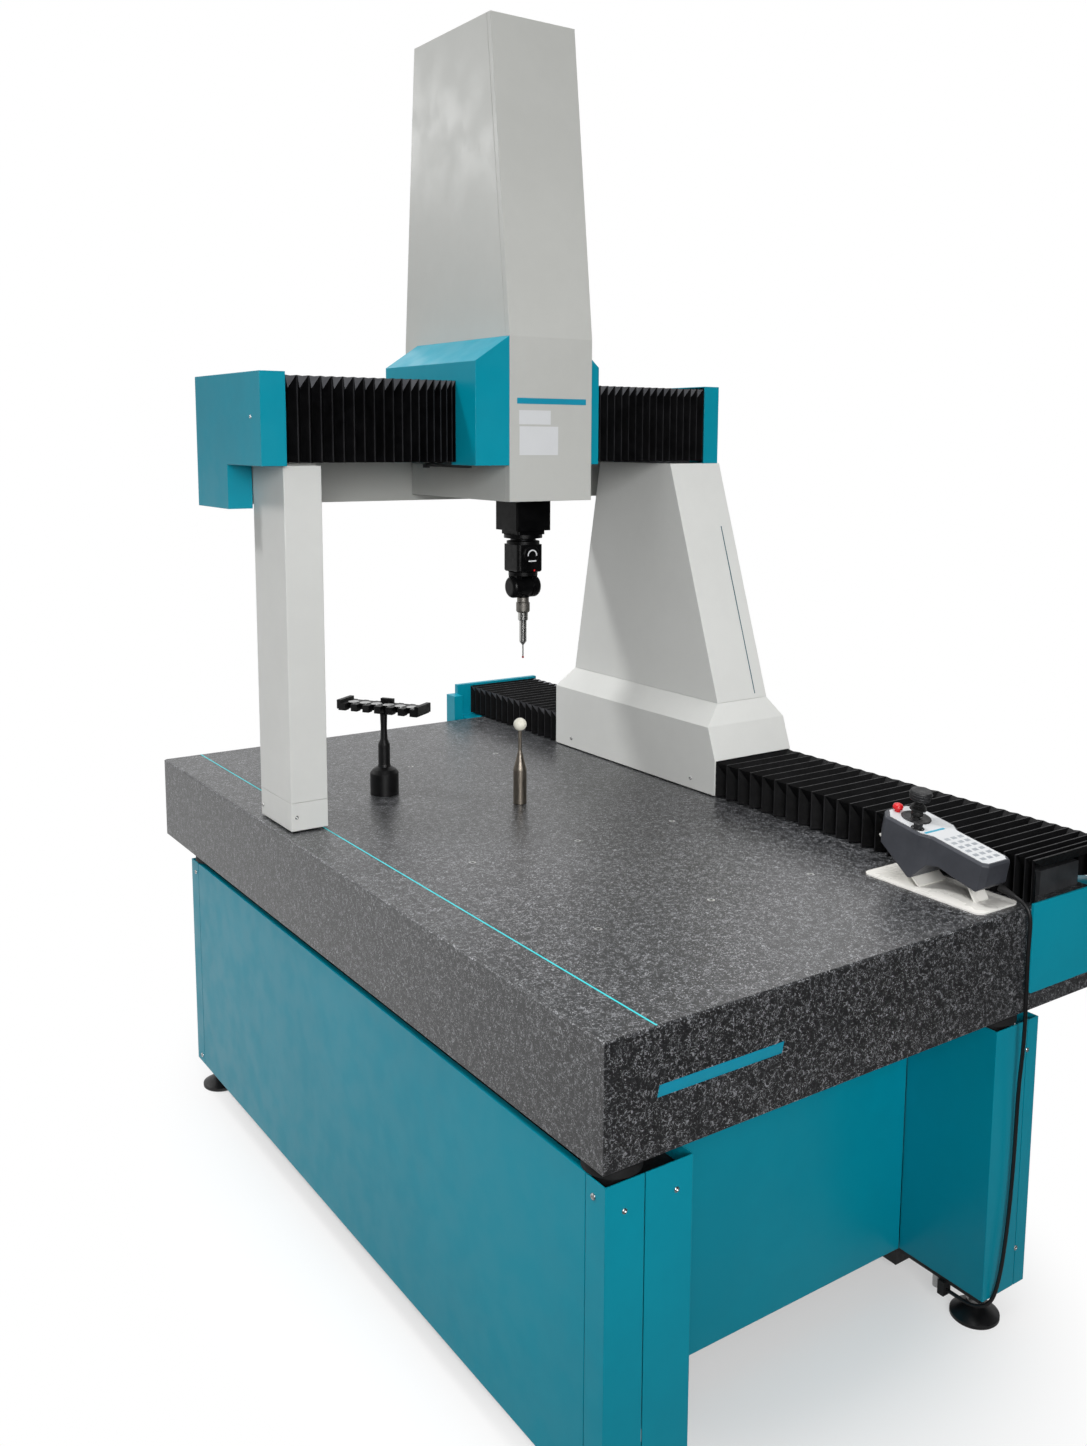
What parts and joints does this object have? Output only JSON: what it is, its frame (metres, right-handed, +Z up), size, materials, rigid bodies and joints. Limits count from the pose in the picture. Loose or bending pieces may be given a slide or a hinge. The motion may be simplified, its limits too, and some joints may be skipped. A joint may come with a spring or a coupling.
{
  "type": "coordinate measuring machine",
  "caption": "Bridge coordinate measuring machine with granite table, travelling bridge, bellows-covered guides, vertical ram with indexing probe head and joystick pendant",
  "frame": {"origin": "on the floor under the middle of the machine's plan extents", "axes": "+Z up; +X to the right seen from the operator's side; +Y to the rear, along the bridge's travel"},
  "size_m": [1.163, 1.9161, 2.421],
  "materials": {
    "granite": "honed fine-grained dark granite",
    "insert_steel": "turned stainless steel",
    "tape_line": "adhesive tape",
    "frame_steel": "black powder coat",
    "rubber": "matte black",
    "zinc_steel": "zinc plated",
    "foot_black": "satin black",
    "teal_paint": "satin teal powder coat",
    "rail_stone": "ground granite",
    "bellows": "coated black bellows cloth",
    "light_paint": "light grey powder coat",
    "casting": "machined and painted",
    "leg_ceramic": "machined hollow bar",
    "pad_metal": "lapped",
    "beam_stone": "ground granite",
    "column_paint": "grey powder coat",
    "ram_black": "black anodised",
    "head_black": "black",
    "probe_steel": "stainless steel",
    "stand_steel": "turned",
    "sphere_ceramic": "polished white",
    "rack_black": "black",
    "stand_sheet": "folded sheet",
    "case_grey": "moulded dark grey",
    "plate_white": "printed overlay",
    "boot": "moulded",
    "knob_black": "moulded",
    "red_cap": "moulded red",
    "cable_jacket": "matte black jacket"
  },
  "bodies": {
    "base": {"granite_table": "granite", "table_inserts": "insert_steel", "track_line": "tape_line", "frame_posts": "frame_steel", "frame_rails": "frame_steel", "damper_mounts": "rubber", "foot_studs": "zinc_steel", "foot_discs": "foot_black", "left_side_panel": "teal_paint", "left_corner_strips": "teal_paint", "front_left_post_cover": "teal_paint", "kneehole_panel": "teal_paint", "right_pillar_cover": "teal_paint", "right_side_panel": "teal_paint", "rear_panel": "teal_paint", "y_guide_rail": "rail_stone", "y_drive_trough": "teal_paint", "y_end_cap_front": "teal_paint", "y_end_cap_rear": "teal_paint", "y_bellows_front": "bellows", "y_bellows_rear": "bellows", "sphere_stand": "stand_steel", "reference_sphere": "sphere_ceramic", "rack_post": "rack_black", "rack_tray": "rack_black", "pendant_stand": "stand_sheet", "pendant_case": "case_grey", "pendant_plate": "plate_white", "cable_glands": "rubber", "pendant_cable": "cable_jacket"},
    "bridge": {"right_leg_skirt": "light_paint", "right_leg_cover": "light_paint", "right_leg_core": "casting", "left_leg_core": "leg_ceramic", "left_leg_cover": "light_paint", "left_foot_cover": "light_paint", "y_air_bearings": "pad_metal", "x_beam": "beam_stone", "beam_end_cap_left": "teal_paint", "beam_end_cap_right": "teal_paint", "beam_rear_cover": "column_paint", "x_bellows_left": "bellows", "x_bellows_right": "bellows"},
    "carriage": {"column_front_cover": "column_paint", "column_body_cover": "column_paint", "carriage_block": "casting", "carriage_pads": "pad_metal", "carriage_side_covers": "teal_paint"},
    "ram_unit": {"ram": "ram_black", "head_body": "head_black"},
    "swivel": {"head_swivel": "head_black"},
    "wrist": {"head_knuckle": "head_black", "probe_body": "probe_steel", "stylus": "probe_steel"},
    "gimbal": {"joystick_gimbal": "boot"},
    "stick": {"joystick_stem": "boot"},
    "stick_knob": {"joystick_knob": "knob_black"},
    "stop": {"stop_button": "red_cap"},
    "override": {"speed_knob": "knob_black"}
  },
  "joints": [
    {"name": "y_slide", "type": "slide", "parent": "base", "child": "bridge", "axis": [0, 1, 0], "range_m": [-0.62, 0.24], "deforming": ["y_bellows_front", "y_bellows_rear"]},
    {"name": "x_slide", "type": "slide", "parent": "bridge", "child": "carriage", "axis": [1, 0, 0], "range_m": [-0.265, 0.235], "deforming": ["x_bellows_left", "x_bellows_right"]},
    {"name": "z_slide", "type": "slide", "parent": "carriage", "child": "ram_unit", "axis": [0, 0, 1], "range_m": [-0.285, 0.05]},
    {"name": "head_roll", "type": "hinge", "parent": "ram_unit", "child": "swivel", "pos_m": [0.0255, 0.1445, 1.2747], "axis": [0, 0, 1], "range_deg": [-180, 180]},
    {"name": "head_pitch", "type": "hinge", "parent": "swivel", "child": "wrist", "pos_m": [0.0255, 0.1445, 1.2497], "axis": [-1, 0, 0], "range_deg": [0, 105]},
    {"name": "joystick_tilt_x", "type": "hinge", "parent": "base", "child": "gimbal", "pos_m": [0.3005, -0.73652, 0.89285], "axis": [0, 0.9839, 0.1788], "range_deg": [-16, 16]},
    {"name": "joystick_tilt_y", "type": "hinge", "parent": "gimbal", "child": "stick", "pos_m": [0.3005, -0.73921, 0.90761], "axis": [1, 0, 0], "range_deg": [-14, 14]},
    {"name": "joystick_twist", "type": "hinge", "parent": "stick", "child": "stick_knob", "pos_m": [0.3005, -0.74367, 0.93221], "axis": [0, -0.1788, 0.9839], "range_deg": [-30, 30]},
    {"name": "stop_press", "type": "slide", "parent": "base", "child": "stop", "axis": [0, -0.1788, 0.9839], "range_m": [-0.004, 0]},
    {"name": "speed_turn", "type": "hinge", "parent": "base", "child": "override", "pos_m": [0.2675, -0.76944, 0.89501], "axis": [0, -0.1788, 0.9839], "range_deg": [-135, 135]}
  ]
}
